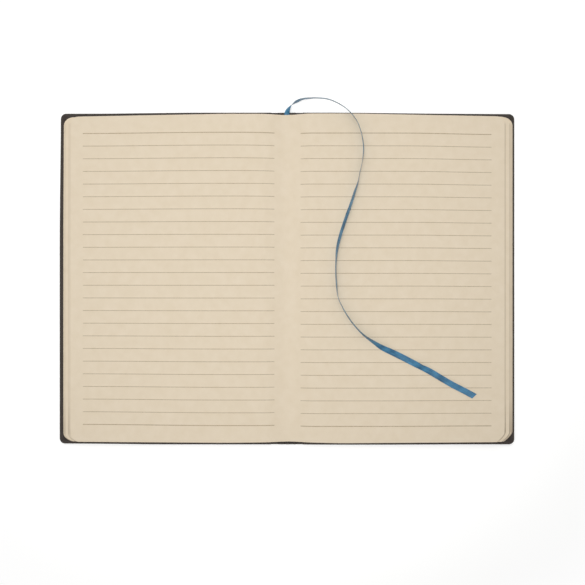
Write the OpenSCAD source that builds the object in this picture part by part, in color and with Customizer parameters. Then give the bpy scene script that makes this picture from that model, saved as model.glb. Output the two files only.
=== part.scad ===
// Casebound ruled notebook, lying open at the middle of its text block.
// The spine runs along Y with the head at +Y, the front cover lies to -X and the back cover to +X.
// The origin is on the surface it lies on, under the middle of the spine.

/* [Cover boards] */
// How far the cover reaches past the leaves at head and tail
head_square = 1.5; // [1:0.1:4]
// How far the cover reaches past the leaves at the fore-edge, with the gutter in the middle
fore_square = 1.9; // [1.6:0.1:4]
// Thickness of the greyboard
board_t = 1.6; // [1.2:0.1:2.2]
// Radius of the cover's outer corners
cover_corner_r = 3.5; // [1:0.5:8]

/* [Leatherette] */
// Thickness of the leatherette
skin_t = 0.4; // [0.3:0.05:0.6]
// Width of the leatherette turned in over the boards
turn_in_w = 15; // [8:1:20]
// Slit along each hinge line, where the covers turn
hinge_slit = 0.5; // [0.5:0.1:1]

/* [Spine] */
// Thickness of the card that stiffens the spine
spine_card_t = 1.2; // [0.8:0.1:1.4]
// Distance from a hinge line to the edge of the spine card
card_inset = 1.6; // [1.2:0.1:2.4]
// Distance from a hinge line to the edge of the greyboard
groove_w = 3.1; // [2.6:0.1:4]
// Thickness of the lining glued over the backs of the sections
lining_t = 0.35; // [0.2:0.05:0.4]
// How far the lining stops short of the turned-in leatherette
lining_gap = 5; // [1:1:20]

/* [Leaves] */
// Height of the leaves, head to tail
page_h = 207; // [190:0.5:230]
// Width of the lowest leaf, gutter to fore-edge
leaf_w = 142.4; // [130:0.1:160]
// Thickness of one leaf
paper_t = 0.085; // [0.07:0.005:0.11]
// Leaves in one sewn section
section_leaves = 8; // [6:2:10]
// Radius of the leaves' outer corners
page_corner_r = 5.3; // [3:0.1:9]
// Rise of the open pages near the gutter, over their height at the fore-edge
swell = 0.76; // [0.4:0.02:1.2]
// Depth of the gutter below the highest part of the page
gutter_dip = 2.8; // [1.5:0.1:3.2]
// Distance from the gutter to the highest part of the page
crest_u = 24; // [16:1:40]
// Distance from the gutter at which the trim of the head and the tail starts to slant
trim_u = 40; // [20:1:80]
// How far the head slants down to the fore-edge
head_slant = 1.85; // [0:0.05:2.5]
// How far the tail slants up to the fore-edge
tail_slant = 0.6; // [0:0.05:1.5]
// Sideways place of the gutter, from the middle of the spine
block_x = 0.6; // [-0.95:0.05:0.95]
// Thickness of an endpaper
endpaper_t = 0.15; // [0.1:0.01:0.2]

/* [Ruling] */
// Distance from one line to the next
line_pitch = 8; // [6:0.5:10]
// Least distance from the first and the last line to the head and the tail
line_margin = 10.9; // [8:0.1:30]
// Distance from the ends of the lines to the fore-edge
fore_margin = 14; // [8:0.5:30]
// Width of a printed line
line_t = 0.35; // [0.2:0.05:0.6]
// Width of the first and the last line
end_line_t = 0.5; // [0.3:0.05:0.8]

/* [Thread] */
// Sewing stations along the spine
station_count = 6; // [4:1:8]
// Distance from the last station to the head and the tail
station_margin = 28; // [20:1:40]
// Diameter of the thread
thread_d = 0.2; // [0.15:0.01:0.22]

/* [Ribbon] */
// Width of the ribbon marker
ribbon_w = 4; // [3:0.5:4.5]
// Thickness of the ribbon marker
ribbon_t = 0.3; // [0.2:0.05:0.35]

/* [Hidden] */
$fn = 48;

// Sides: the front cover is on the left, the back cover on the right
left = -1;
right = 1;

// Colours
skin_colour = "#443d38";
board_colour = "#8d857a";
paper_colour = "#e0cfb4";
line_colour = "#bfae92";
lining_colour = "#cfc6b4";
thread_colour = "#efe9dc";
ribbon_colour = "#3f78a3";

// Clearances
fit = 0.05; // Between pieces that lie on each other
close_gap = 0.2; // From each page to the middle of the closed book
turn_gap = 0.35; // From the turned leaves to what lines the spine
pile_gap = 0.03; // Between the print and the paper it lies on
print_h = 0.04; // Height of the print
cut = 1; // How far a cutting shape runs past what it cuts

// Fore-edge of each section, set back from the lowest leaf, from the cover up
right_setback = [0, 0.6, 1.9, 2.4, 5.3, 5.9];
left_setback = [0, 0.8, 1.6, 3.5, 4.3, 5];
side_sections = len(right_setback) - 1;

// Heights, from the surface the book lies on
board_top = skin_t + board_t;
inner_face_z = board_top + skin_t;
leaves_z = inner_face_z + endpaper_t + fit;
section_t = section_leaves * paper_t;
half_section_t = section_t / 2;
side_t = side_sections * section_t + half_section_t;
edge_z = leaves_z + side_t;
crest_z = edge_z + swell;
gutter_z = crest_z - gutter_dip;
card_top = skin_t + spine_card_t;
spine_top = card_top + max(skin_t, lining_t);
fold_z = spine_top + fit;

// Places across the spine
hinge_z = skin_t / 2;
hinge_x = crest_z + close_gap - hinge_z;
card_x = hinge_x - card_inset;
board_x = hinge_x + groove_w;
cover_end_x = leaf_w + fore_square;
board_end_x = cover_end_x - skin_t;
stack_x = hinge_x + spine_top - hinge_z + turn_gap;

// Height of the cover and of the lining inside it
cover_h = page_h + 2 * head_square;
lining_h = cover_h - 2 * (turn_in_w + lining_gap);

// Head and tail of the leaves, at the gutter
head_y = page_h / 2;
tail_y = -head_y;

// Folded backs of the sections, one for each section on both sides and the opened one between
fold_count = 2 * side_sections + 1;
fold_pitch = section_t + 2 * swell / fold_count;
fold_r = fold_pitch / 2;
back_half_w = fold_count * fold_r;

// Ruling: where the lines start from the gutter, and how far the print is off the middle of the page
line_start_u = 8.4;
ruling_y = [-0.4, -0.9];
line_count = 1 + floor((page_h - 2 * line_margin) / line_pitch);

// Sewing stations along the folds
station_pitch = (page_h - 2 * station_margin) / (station_count - 1);

// Facets of the page surface between the gutter and the fore-edge
surface_steps = 12;
fold_steps = 8;

// Height of the open page at distance u from the gutter
function page_z(u) =
    u < crest_u
        ? gutter_z + gutter_dip * (1 - pow(1 - u / crest_u, 3))
        : crest_z - swell * pow((u - crest_u) / (leaf_w - crest_u), 2);

// Height of the top of section m there, counted from the cover up
function level(m) = min(1, (m + 1) / (side_sections + 0.5));
function section_z(u, m) = leaves_z + level(m) * (page_z(u) - leaves_z);

// Distances from the gutter at which the surface of one side has its points
function stack_u(side) = abs(side * stack_x - block_x);
function surface_u(side) = [
    for (i = [0:surface_steps])
        stack_u(side) + (leaf_w - stack_u(side)) * pow(i / surface_steps, 1.8)
];

// Head and tail of the leaves at distance u from the gutter
function slant_at(u) = max(0, u - trim_u) / (leaf_w - trim_u);
function head_at(u) = head_y - head_slant * slant_at(u);
function tail_at(u) = tail_y + tail_slant * slant_at(u);

function reversed(list) = [for (i = [len(list) - 1:-1:0]) list[i]];

// Extrudes a drawing of X and Z along Y, centred
module along_y(length) {
    rotate([90, 0, 0])
        linear_extrude(height = length, center = true)
            children();
}

// What a rounded corner takes off a square one: 0 top right, 90 top left, 180 bottom left, 270 bottom right
module corner_cut(x, y, turn, r) {
    translate([x, y])
        rotate(turn)
            translate([-r, -r])
                difference() {
                    square(r + cut);
                    circle(r);
                }
}

// Outline of one side's leaves that reach the given distance from the gutter
module leaf_outline(side, start_x, reach) {
    end_x = block_x + side * reach;
    trim_x = block_x + side * trim_u;
    corner_u = reach - page_corner_r;
    difference() {
        polygon([
            [side * start_x, tail_y],
            [trim_x, tail_y],
            [end_x, tail_at(reach)],
            [end_x, head_at(reach)],
            [trim_x, head_y],
            [side * start_x, head_y]
        ]);
        corner_cut(end_x, head_at(corner_u), side == right ? 0 : 90, page_corner_r);
        corner_cut(end_x, tail_at(corner_u), side == right ? 270 : 180, page_corner_r);
    }
}

// Outline with round corners at the fore-edge, for a board and its leatherette
module board_outline(side, start_x, end_x, height, r) {
    x0 = side == right ? start_x : -end_x;
    difference() {
        translate([x0, -height / 2])
            square([end_x - start_x, height]);
        corner_cut(side * end_x, height / 2, side == right ? 0 : 90, r);
        corner_cut(side * end_x, -height / 2, side == right ? 270 : 180, r);
    }
}

// Block from one distance across the spine to another, on one side, centred along the spine
module side_block(side, x0, x1, height, z0, z1) {
    translate([side == right ? x0 : -x1, -height / 2, z0])
        cube([x1 - x0, height, z1 - z0]);
}

module cover_board(side) {
    color(board_colour)
        translate([0, 0, skin_t])
            linear_extrude(board_t)
                board_outline(side, board_x, board_end_x, cover_h - 2 * skin_t, cover_corner_r - skin_t);
}

// Leatherette under the board, round its edges and turned in over its inner face
module cover_skin(side) {
    start_x = hinge_x + hinge_slit / 2;
    single_x = hinge_x + 2.5 * skin_t;
    turn_x = board_x - skin_t;
    open_h = cover_h - 2 * turn_in_w;
    color(skin_colour)
        difference() {
            linear_extrude(inner_face_z)
                board_outline(side, start_x, cover_end_x, cover_h, cover_corner_r);
            translate([0, 0, skin_t])
                linear_extrude(board_t)
                    board_outline(side, board_x, board_end_x, cover_h - 2 * skin_t, cover_corner_r - skin_t);
            side_block(side, start_x - cut, cover_end_x - turn_in_w, open_h, skin_t, inner_face_z + cut);
            side_block(side, start_x - cut, turn_x, cover_h + cut, 2 * skin_t, inner_face_z + cut);
            side_block(side, start_x - cut, single_x, cover_h + cut, skin_t, inner_face_z + cut);
        }
}

module spine_card() {
    color(board_colour)
        translate([-card_x, skin_t - cover_h / 2, skin_t])
            cube([2 * card_x, cover_h - 2 * skin_t, spine_card_t]);
}

// Leatherette under the spine card, turned in over its ends
module spine_skin() {
    edge_x = hinge_x - hinge_slit / 2;
    wall_x = card_x + skin_t;
    turn_top = card_top + skin_t;
    open_h = cover_h - 2 * turn_in_w;
    color(skin_colour)
        difference() {
            translate([-edge_x, -cover_h / 2, 0])
                cube([2 * edge_x, cover_h, turn_top]);
            translate([-card_x, skin_t - cover_h / 2, skin_t])
                cube([2 * card_x, cover_h - 2 * skin_t, spine_card_t]);
            translate([-edge_x - cut, -open_h / 2, skin_t])
                cube([2 * (edge_x + cut), open_h, turn_top]);
            for (side = [left, right])
                side_block(side, wall_x, edge_x + cut, cover_h + cut, skin_t, turn_top + cut);
        }
}

module spine_lining() {
    color(lining_colour)
        translate([block_x - back_half_w, -lining_h / 2, card_top])
            cube([2 * back_half_w, lining_h, lining_t]);
}

// Endpaper pasted over the turn-ins and, one step lower, over the bare board between them
module endpaper(side) {
    start_x = board_x + fit;
    reach = leaf_w - 0.3;
    window_end_x = cover_end_x - turn_in_w - fit;
    window_h = cover_h - 2 * (turn_in_w + fit);
    color(paper_colour) {
        translate([0, 0, inner_face_z])
            linear_extrude(endpaper_t)
                difference() {
                    leaf_outline(side, start_x, reach);
                    translate([side == right ? 0 : -window_end_x + endpaper_t, -window_h / 2 + endpaper_t])
                        square([window_end_x - endpaper_t, window_h - 2 * endpaper_t]);
                }
        difference() {
            side_block(side, start_x, window_end_x, window_h, board_top, inner_face_z + endpaper_t);
            side_block(
                side, start_x - cut, window_end_x - endpaper_t, window_h - 2 * endpaper_t,
                board_top + endpaper_t, inner_face_z + cut
            );
        }
    }
}

// Leaves of one side: each section is as long as the photo's fanned fore-edge shows, under its own curve
module leaves(side, setback) {
    color(paper_colour)
        union() {
            for (m = [0:side_sections])
                intersection() {
                    translate([0, 0, leaves_z])
                        linear_extrude(crest_z)
                            leaf_outline(side, stack_x, leaf_w - setback[m]);
                    along_y(2 * cover_h)
                        polygon(concat(
                            [for (u = surface_u(side)) [block_x + side * u, section_z(u, m)]],
                            [
                                [block_x + side * leaf_w, leaves_z],
                                [side * stack_x, leaves_z]
                            ]
                        ));
                }
        }
}

// Printed lines of one page, which follow the curve of the paper
module ruling(side, middle_y) {
    start_u = max(line_start_u, stack_u(side) + fit);
    end_u = leaf_w - fore_margin;
    points_u = concat(
        [start_u],
        [for (u = surface_u(side)) if (u > start_u + fit && u < end_u - fit) u],
        [end_u]
    );
    first_y = middle_y - line_pitch * (line_count - 1) / 2;
    under = [for (u = points_u) [block_x + side * u, page_z(u)]];
    over = [for (p = under) [p[0], p[1] + print_h]];
    color(line_colour)
        for (i = [0:line_count - 1])
            translate([0, first_y + i * line_pitch, pile_gap])
                along_y(i == 0 || i == line_count - 1 ? end_line_t : line_t)
                    polygon(side == right ? concat(under, reversed(over)) : concat(over, reversed(under)));
}

// Points of the outermost leaf of one side, from its fold up and out to the stack
function outer_curve(side) = [
    for (i = [0:fold_steps])
        let (
            share = i / fold_steps,
            foot_x = block_x + side * back_half_w,
            end_x = side * (stack_x - fit),
            foot_z = fold_z + fold_r
        )
        [foot_x + (end_x - foot_x) * share, foot_z + (leaves_z - foot_z) * (1 - pow(1 - share, 2))]
];

// Points of the page surface over the folds, from the gutter out to the stack of one side
function gutter_curve(side) = [
    for (i = [0:fold_steps])
        let (u = (stack_u(side) - fit) * i / fold_steps)
        [block_x + side * u, page_z(u)]
];

// Hollow under the opened section, whose sheets bridge the gutter over the folds below
module gutter_hollow() {
    tip_u = 5.6;
    floor_z = fold_z + 2.2 * fold_r;
    tip_z = page_z(tip_u) - half_section_t;
    steps = [0:0.25:1];
    for (side = [left, right])
        polygon(concat(
            [for (s = steps) [block_x + side * s * tip_u, page_z(s * tip_u) - half_section_t]],
            [
                for (s = steps)
                    [
                        block_x + side * (1 - s) * tip_u,
                        floor_z + (tip_z - floor_z) * (1 - pow(s, 1.3))
                    ]
            ]
        ));
}

// Folded middle of the sections: round backs side by side over the spine, leaves fanning out to both stacks
module section_folds() {
    first_x = block_x - back_half_w + fold_r;
    recess_w = ribbon_w + 0.8;
    recess_h = ribbon_t + 0.3;
    recess_l = 10;
    color(paper_colour)
        difference() {
            along_y(page_h)
                difference() {
                    union() {
                        polygon(concat(
                            reversed(outer_curve(left)),
                            outer_curve(right),
                            reversed(gutter_curve(right)),
                            gutter_curve(left)
                        ));
                        for (i = [0:fold_count - 1])
                            translate([first_x + i * fold_pitch, fold_z + fold_r])
                                circle(fold_r, $fn = 24);
                    }
                    gutter_hollow();
                }
            translate([-recess_w / 2, head_y - recess_l, fold_z - cut])
                cube([recess_w, recess_l + cut, recess_h + cut]);
            for (y = station_y())
                translate([block_x - back_half_w - cut, y - thread_d, fold_z - cut])
                    cube([2 * (back_half_w + cut), 2 * thread_d, 2 * thread_d + cut]);
        }
}

function station_y() = [
    for (i = [0:station_count - 1]) station_pitch * (i - (station_count - 1) / 2)
];

// Link stitches that cross the backs of the sections in sawn kerfs, one row at each station
module sewing_thread() {
    stitch_w = 2 * back_half_w - fold_pitch;
    color(thread_colour)
        for (y = station_y())
            translate([block_x - stitch_w / 2, y, spine_top + thread_d / 2 + fit / 2])
                rotate([0, 90, 0])
                    cylinder(h = stitch_w, d = thread_d, $fn = 16);
}

// Route of the ribbon's middle line: X, Y, Z and how far the ribbon is turned up from lying flat.
// It is glued behind the folds at the head, loops out over the head, and lies down the right page.
// Y is drawn for leaves whose head is at route_head_y, and moves with the head.
route_head_y = 103.5;
route = [
    [0, 96, 2.2, 0], [0, 99, 2.2, 0], [0, 101.5, 2.2, 0], [0.05, 104, 2.4, 4], [0.4, 106, 3.3, 36],
    [1.6, 108.1, 4.5, 66], [3.4, 109.8, 5.1, 90], [6.2, 111.6, 5.8, 106], [9.8, 112.9, 6.7, 104],
    [13.8, 113.4, 7.6, 96], [18.6, 113.5, 8.6, 90], [24.8, 112.6, 9.4, 88], [30.2, 110.5, 9.7, 88],
    [35.7, 107.4, 9.8, 88], [40.4, 103.4, 9.8, 87], [44.2, 98, 9.6, 87], [46.3, 92.8, 9.5, 84],
    [47.7, 86.5, 9.4, 80], [48.1, 80, 9.4, 78], [47.4, 72.5, 9.4, 84], [45.9, 65.3, 9.4, 87],
    [44.5, 59.8, 9.35, 78], [42.9, 55, 9.3, 69], [40.6, 47.8, 9.2, 62], [38, 40.3, 9.1, 57],
    [35.4, 32.7, 9, 53], [33.1, 25.2, 9.05, 55], [31.7, 18.5, 9.15, 59], [31.1, 11, 9.3, 66],
    [31.1, 3.5, 9.3, 71], [31.5, -4.5, 9.3, 74], [32.6, -11.8, 9.35, 83], [35.5, -18.8, 9.35, 80],
    [39.2, -25.2, 9.35, 78], [43.9, -30.9, 9.3, 77], [49.4, -36, 9.3, 73], [54.5, -39.9, 9, 58],
    [60, -43.4, 8.3, 32], [67, -46.7, 7.6, 10], [74.5, -50.4, 7.45, 6], [80.2, -53.4, 7.6, 12],
    [84.6, -55.7, 8, 25], [89.5, -58.1, 7.5, 8], [97, -62.6, 7.3, 6], [104.5, -66.9, 7.2, 6],
    [111.5, -70.5, 7.1, 4], [118.4, -74, 6.95, 0]
];
rings_per_span = 2;

// Point on the smooth line through the route, at span i and share t of it
function route_at(i, t) =
    let (
        last = len(route) - 1,
        a = route[max(i - 1, 0)],
        b = route[i],
        c = route[min(i + 1, last)],
        d = route[min(i + 2, last)]
    )
    0.5 * (2 * b + (c - a) * t + (2 * a - 5 * b + 4 * c - d) * t * t + (3 * b - 3 * c + d - a) * t * t * t);

function place(p) = [p[0], p[1], p[2]];
function unit(v) = v / norm(v);

// Section of the ribbon across its length: width and thickness, with its edges eased
function ribbon_section() =
    let (w = ribbon_w / 2, t = ribbon_t / 2, ease = ribbon_t / 2)
    [
        [w, -t / 3], [w, t / 3], [w - ease, t], [ease - w, t],
        [-w, t / 3], [-w, -t / 3], [ease - w, -t], [w - ease, -t]
    ];

// One ring of the sweep, with its width turned up by the roll at that point
function ring(p, ahead) =
    let (
        across = unit(cross(ahead, [0, 0, 1])),
        up = cross(across, ahead),
        w = across * cos(p[3]) + up * sin(p[3]),
        n = up * cos(p[3]) - across * sin(p[3])
    )
    [for (q = ribbon_section()) place(p) + q[0] * w + q[1] * n];

module ribbon_marker() {
    spans = len(route) - 1;
    stations = concat(
        [for (i = [0:spans - 1], k = [0:rings_per_span - 1]) route_at(i, k / rings_per_span)],
        [route[spans]]
    );
    count = len(stations);
    sides = len(ribbon_section());
    points = [
        for (i = [0:count - 1])
            each ring(
                stations[i],
                unit(place(stations[min(i + 1, count - 1)]) - place(stations[max(i - 1, 0)]))
            )
    ];
    faces = concat(
        [[for (k = [0:sides - 1]) k]],
        [
            for (i = [0:count - 2], k = [0:sides - 1])
                let (a = i * sides + k, b = i * sides + (k + 1) % sides)
                each [[a, a + sides, b + sides], [a, b + sides, b]]
        ],
        [[for (k = [sides - 1:-1:0]) (count - 1) * sides + k]]
    );
    color(ribbon_colour)
        translate([0, head_y - route_head_y, 0])
            polyhedron(points, faces, convexity = 8);
}

cover_board(right);  // back_board
cover_skin(right);  // back_cover_skin
endpaper(right);  // back_endpaper
leaves(right, right_setback);  // right_leaves
ruling(right, ruling_y[1]);  // right_ruling
spine_card();
spine_skin();
spine_lining();
section_folds();
sewing_thread();
cover_board(left);  // front_board
cover_skin(left);  // front_cover_skin
endpaper(left);  // front_endpaper
leaves(left, left_setback);  // left_leaves
ruling(left, ruling_y[0]);  // left_ruling
ribbon_marker();
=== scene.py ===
import math
import random

import bpy
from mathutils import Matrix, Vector, noise


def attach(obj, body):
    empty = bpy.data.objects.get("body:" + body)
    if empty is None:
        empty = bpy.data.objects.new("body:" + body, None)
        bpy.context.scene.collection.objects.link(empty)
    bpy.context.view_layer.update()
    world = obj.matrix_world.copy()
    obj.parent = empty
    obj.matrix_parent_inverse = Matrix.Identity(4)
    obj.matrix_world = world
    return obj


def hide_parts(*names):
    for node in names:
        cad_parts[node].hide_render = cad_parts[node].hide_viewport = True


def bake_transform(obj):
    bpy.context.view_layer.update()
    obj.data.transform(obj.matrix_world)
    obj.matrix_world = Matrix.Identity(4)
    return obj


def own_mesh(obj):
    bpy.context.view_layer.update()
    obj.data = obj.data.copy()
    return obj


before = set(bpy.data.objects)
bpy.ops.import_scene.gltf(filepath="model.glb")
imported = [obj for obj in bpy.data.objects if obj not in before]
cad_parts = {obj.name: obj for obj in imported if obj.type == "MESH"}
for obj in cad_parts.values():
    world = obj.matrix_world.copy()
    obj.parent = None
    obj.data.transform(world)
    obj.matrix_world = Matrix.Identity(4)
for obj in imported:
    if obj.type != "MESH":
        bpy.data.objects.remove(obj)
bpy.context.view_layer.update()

scene = bpy.context.scene
mm = 0.001                    # sizes below are in millimetres unless a note says otherwise
leftSide, rightSide = -1, 1   # the front cover lies on the left, the back cover on the right
sideName = {leftSide: "left", rightSide: "right"}
coverBody = {leftSide: "front_cover", rightSide: "back_cover"}
dice = random.Random(24)      # one seed, so every run has the same unevenness
print("notebook: frame loaded")


# camera, floor and light

# Straight above the gutter, a little below the middle of the book, as in the photo
cameraSet = {"x": 3.5, "y": -8.94, "height": 600, "lens": 58}
camera = bpy.data.objects.new("camera", bpy.data.cameras.new("camera"))
scene.collection.objects.link(camera)
camera.location = (cameraSet["x"] * mm, cameraSet["y"] * mm, cameraSet["height"] * mm)
camera.data.lens = cameraSet["lens"]
camera.data.clip_start = 0.01
scene.camera = camera
scene.view_settings.view_transform = "Standard"


def linearColour(hexCode):
    # sRGB hex to the linear values that the shaders take
    channels = [int(hexCode[i:i + 2], 16) / 255 for i in (1, 3, 5)]
    return [c / 12.92 if c <= 0.04045 else ((c + 0.055) / 1.055) ** 2.4 for c in channels] + [1.0]


def addNode(tree, kind, settings=None, links=None):
    # settings are sockets or properties by name or number, links are sockets to join
    node = tree.nodes.new(kind)
    for name, value in (settings or {}).items():
        if isinstance(name, int) or name in node.inputs:
            node.inputs[name].default_value = value
        else:
            setattr(node, name, value)
    for name, source in (links or {}).items():
        tree.links.new(source, node.inputs[name])
    return node


def whiteRays(tree):
    # 1 for rays that should see the studio white: from the camera, off gloss or through glass
    path = addNode(tree, "ShaderNodeLightPath")
    seen = addNode(tree, "ShaderNodeMath", {"operation": "MAXIMUM"},
                   {0: path.outputs["Is Camera Ray"], 1: path.outputs["Is Glossy Ray"]})
    return addNode(tree, "ShaderNodeMath", {"operation": "MAXIMUM"},
                   {0: seen.outputs[0], 1: path.outputs["Is Transmission Ray"]}).outputs[0]


lightSet = {
    "skyStrength": 0.43,      # soft light from all sides
    "sunStrength": 0.50,      # window side, from the head and a little from the left
    "sunElevation": 58,
    "sunAzimuth": 102,        # counted from +X
    "sunAngle": 40,
    "lampWatts": 16.0,        # diffused lamp over the book, so that the pages darken a little outwards
    "lampPlace": (-34, 60, 900),
    "lampRadius": 120,
    "lampCone": 54,
    "floorLift": 0.225,       # added for the camera only, so that the floor is white round the book
    "floorFade": (195, 300),  # from the middle of the book; beyond, the floor is plain white to the camera
}

white = linearColour("#ffffff")
world = bpy.data.worlds.new("studio")
scene.world = world
world.use_nodes = True
sky = world.node_tree
sky.nodes.clear()
skySoft = addNode(sky, "ShaderNodeBackground", {"Color": white, "Strength": lightSet["skyStrength"]})
skyWhite = addNode(sky, "ShaderNodeBackground", {"Color": white, "Strength": 1.0})
skyMix = addNode(sky, "ShaderNodeMixShader", None,
                 {0: whiteRays(sky), 1: skySoft.outputs[0], 2: skyWhite.outputs[0]})
addNode(sky, "ShaderNodeOutputWorld", None, {"Surface": skyMix.outputs[0]})

sun = bpy.data.objects.new("sun", bpy.data.lights.new("sun", "SUN"))
scene.collection.objects.link(sun)
sun.data.energy = lightSet["sunStrength"]
sun.data.angle = math.radians(lightSet["sunAngle"])
rise, bearing = math.radians(lightSet["sunElevation"]), math.radians(lightSet["sunAzimuth"])
sunDirection = Vector((math.cos(bearing) * math.cos(rise), math.sin(bearing) * math.cos(rise),
                       math.sin(rise)))
sun.rotation_euler = sunDirection.to_track_quat("Z", "Y").to_euler()

lamp = bpy.data.objects.new("lamp", bpy.data.lights.new("lamp", "SPOT"))
scene.collection.objects.link(lamp)
lamp.data.energy = lightSet["lampWatts"]
lamp.data.shadow_soft_size = lightSet["lampRadius"] * mm
lamp.data.spot_size = math.radians(lightSet["lampCone"])
lamp.data.spot_blend = 1.0
lamp.location = [v * mm for v in lightSet["lampPlace"]]

floorMaterial = bpy.data.materials.new("whitePaperSweep")
floorMaterial.use_nodes = True
tree = floorMaterial.node_tree
tree.nodes.clear()
floorDiffuse = addNode(tree, "ShaderNodeBsdfDiffuse", {"Color": linearColour("#f7f7f6")})
floorGlow = addNode(tree, "ShaderNodeEmission", {"Color": white, "Strength": lightSet["floorLift"]})
floorLifted = addNode(tree, "ShaderNodeAddShader", None,
                      {0: floorDiffuse.outputs[0], 1: floorGlow.outputs[0]})
floorWhite = addNode(tree, "ShaderNodeEmission", {"Color": white, "Strength": 1.0})
floorPlace = addNode(tree, "ShaderNodeTexCoord").outputs["Object"]
fromBook = addNode(tree, "ShaderNodeVectorMath", {"operation": "LENGTH"}, {0: floorPlace})
fade = addNode(tree, "ShaderNodeMapRange", {"interpolation_type": "SMOOTHSTEP",
                                            "From Min": lightSet["floorFade"][0] * mm,
                                            "From Max": lightSet["floorFade"][1] * mm},
               {"Value": fromBook.outputs["Value"]})
floorSeen = addNode(tree, "ShaderNodeMixShader", None,
                    {0: fade.outputs[0], 1: floorLifted.outputs[0], 2: floorWhite.outputs[0]})
floorMix = addNode(tree, "ShaderNodeMixShader", None,
                   {0: whiteRays(tree), 1: floorDiffuse.outputs[0], 2: floorSeen.outputs[0]})
addNode(tree, "ShaderNodeOutputMaterial", None, {"Surface": floorMix.outputs[0]})

floorMesh = bpy.data.meshes.new("sweep")
floorMesh.from_pydata([(-4, -4, 0), (4, -4, 0), (4, 4, 0), (-4, 4, 0)], [], [(0, 1, 2, 3)])
floor = bpy.data.objects.new("sweep", floorMesh)
scene.collection.objects.link(floor)
floor.location.z = -0.05 * mm
floorMesh.materials.append(floorMaterial)
print("notebook: camera, floor and light set")


# mesh and material helpers

def newMaterial(name, settings):
    material = bpy.data.materials.new(name)
    material.use_nodes = True
    shader = material.node_tree.nodes["Principled BSDF"]
    for socket, value in settings.items():
        shader.inputs[socket].default_value = value
    return material, material.node_tree, shader


def placeOf(tree, attribute):
    # where a point lies on the book at rest, in metres: kept in the mesh for pieces that bend
    if attribute:
        return addNode(tree, "ShaderNodeAttribute", {"attribute_name": attribute}).outputs["Vector"]
    return addNode(tree, "ShaderNodeTexCoord").outputs["Object"]


def addGrid(store, grid, slot=0, flip=False, marks=None):
    # rows of points in millimetres become quads with vertices of their own
    first = len(store["points"])
    across = len(grid[0])
    for i, line in enumerate(grid):
        for j, point in enumerate(line):
            store["points"].append([v * mm for v in point])
            store["marks"].append(marks[i][j] if marks else (0.0, 0.0))
    for i in range(len(grid) - 1):
        for j in range(across - 1):
            a = first + i * across + j
            quad = (a, a + across, a + across + 1, a + 1)
            store["faces"].append(quad[::-1] if flip else quad)
            store["slots"].append(slot)


def newStore():
    return {"points": [], "faces": [], "slots": [], "marks": []}


def makePiece(name, store, materials, smooth=True):
    mesh = bpy.data.meshes.new(name)
    mesh.from_pydata(store["points"], [], store["faces"])
    for material in materials:
        mesh.materials.append(material)
    mesh.polygons.foreach_set("material_index", store["slots"])
    mesh.polygons.foreach_set("use_smooth", [smooth] * len(store["faces"]))
    rest = mesh.attributes.new("restPlace", "FLOAT_VECTOR", "POINT")
    rest.data.foreach_set("vector", [v for point in store["points"] for v in point])
    strip = mesh.uv_layers.new(name="strip")
    for loop in mesh.loops:
        strip.data[loop.index].uv = store["marks"][loop.vertex_index]
    mesh.update()
    piece = bpy.data.objects.new(name, mesh)
    scene.collection.objects.link(piece)
    return piece


# ribbon marker

ribbonSet = {
    "width": 3.8,
    "thickness": 0.17,
    "ringsPerSpan": 8,
    "acrossSteps": 12,
    "cup": 0.05,              # how far the middle stands over the selvedges
    "rootCup": 0.55,          # it comes out from behind the folds curled across and pinched
    "rootPinch": 0.88,
    "curlSpans": (2.8, 4),    # first span of the curl, and how many it takes
    "pinchSpans": (4, 4),
    "selvedge": 1.12,         # a woven selvedge is thicker than the rest
    "endSlant": 0.6,          # the scissors went across at a slight slant
    "rootSpan": 13.88,        # where on the route it comes over the pages, which press it flat on closing
    "threadPitch": 0.13,      # warp threads lie this close in a satin marker
    "floatLength": 6.25,      # and show as streaks of about this length
}

# The route of part.scad, moved by up to 0.6 mm and leaning the other way, to lie as in the
# photo: X, Y and Z, and how far the ribbon is turned up from lying flat
ribbonRoute = [
    (0, 96, 2.2, 0), (0, 99, 2.2, 0), (0, 101.5, 2.2, 0), (0.05, 104, 2.4, 4), (0.3, 106, 3.3, 32),
    (1.5, 108.1, 4.5, 60), (3.4, 109.8, 5.1, 87), (6.2, 111.6, 5.8, 105), (9.8, 112.9, 6.7, 97),
    (13.8, 113.2, 7.6, 93), (18.6, 113.2, 8.6, 89), (24.8, 112.5, 9.4, 89), (30.2, 110.6, 9.7, 88),
    (35.8, 107.4, 9.8, 86.5), (40.3, 103.4, 9.8, 86.5), (44.2, 98, 9.6, 85.5), (46.2, 92.8, 9.5, 87.5),
    (47.6, 86.5, 9.4, 92), (48, 80, 9.4, 94.5), (47.1, 72.5, 9.4, 88), (45.5, 65.3, 9.4, 86.5),
    (44.4, 59.8, 9.35, 98), (42.8, 55, 9.3, 107.5), (40.5, 47.8, 9.2, 111.5), (37.9, 40.3, 9.1, 116),
    (35.3, 32.7, 9, 116.5), (33, 25.2, 9.05, 115.5), (31.5, 18.5, 9.15, 110), (30.8, 11, 9.3, 100.5),
    (30.65, 3.5, 9.3, 98), (31.15, -4.5, 9.3, 99.5), (32, -11.8, 9.35, 90.5), (35.15, -18.8, 9.35, 96),
    (39, -25.2, 9.35, 99), (43.65, -31.15, 9.3, 101), (48.85, -36.25, 9.3, 107), (54.5, -40.15, 9, 122),
    (60, -43.65, 8.3, 148), (67, -46.95, 7.6, 170), (74.5, -50.65, 7.45, 174), (80.2, -53.65, 7.6, 168),
    (84.6, -55.95, 8, 155), (89.5, -58.35, 7.5, 172), (97, -62.85, 7.3, 174), (104.5, -67.15, 7.2, 174),
    (111.5, -70.75, 7.1, 176), (118, -74.25, 6.95, 180),
]


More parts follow.
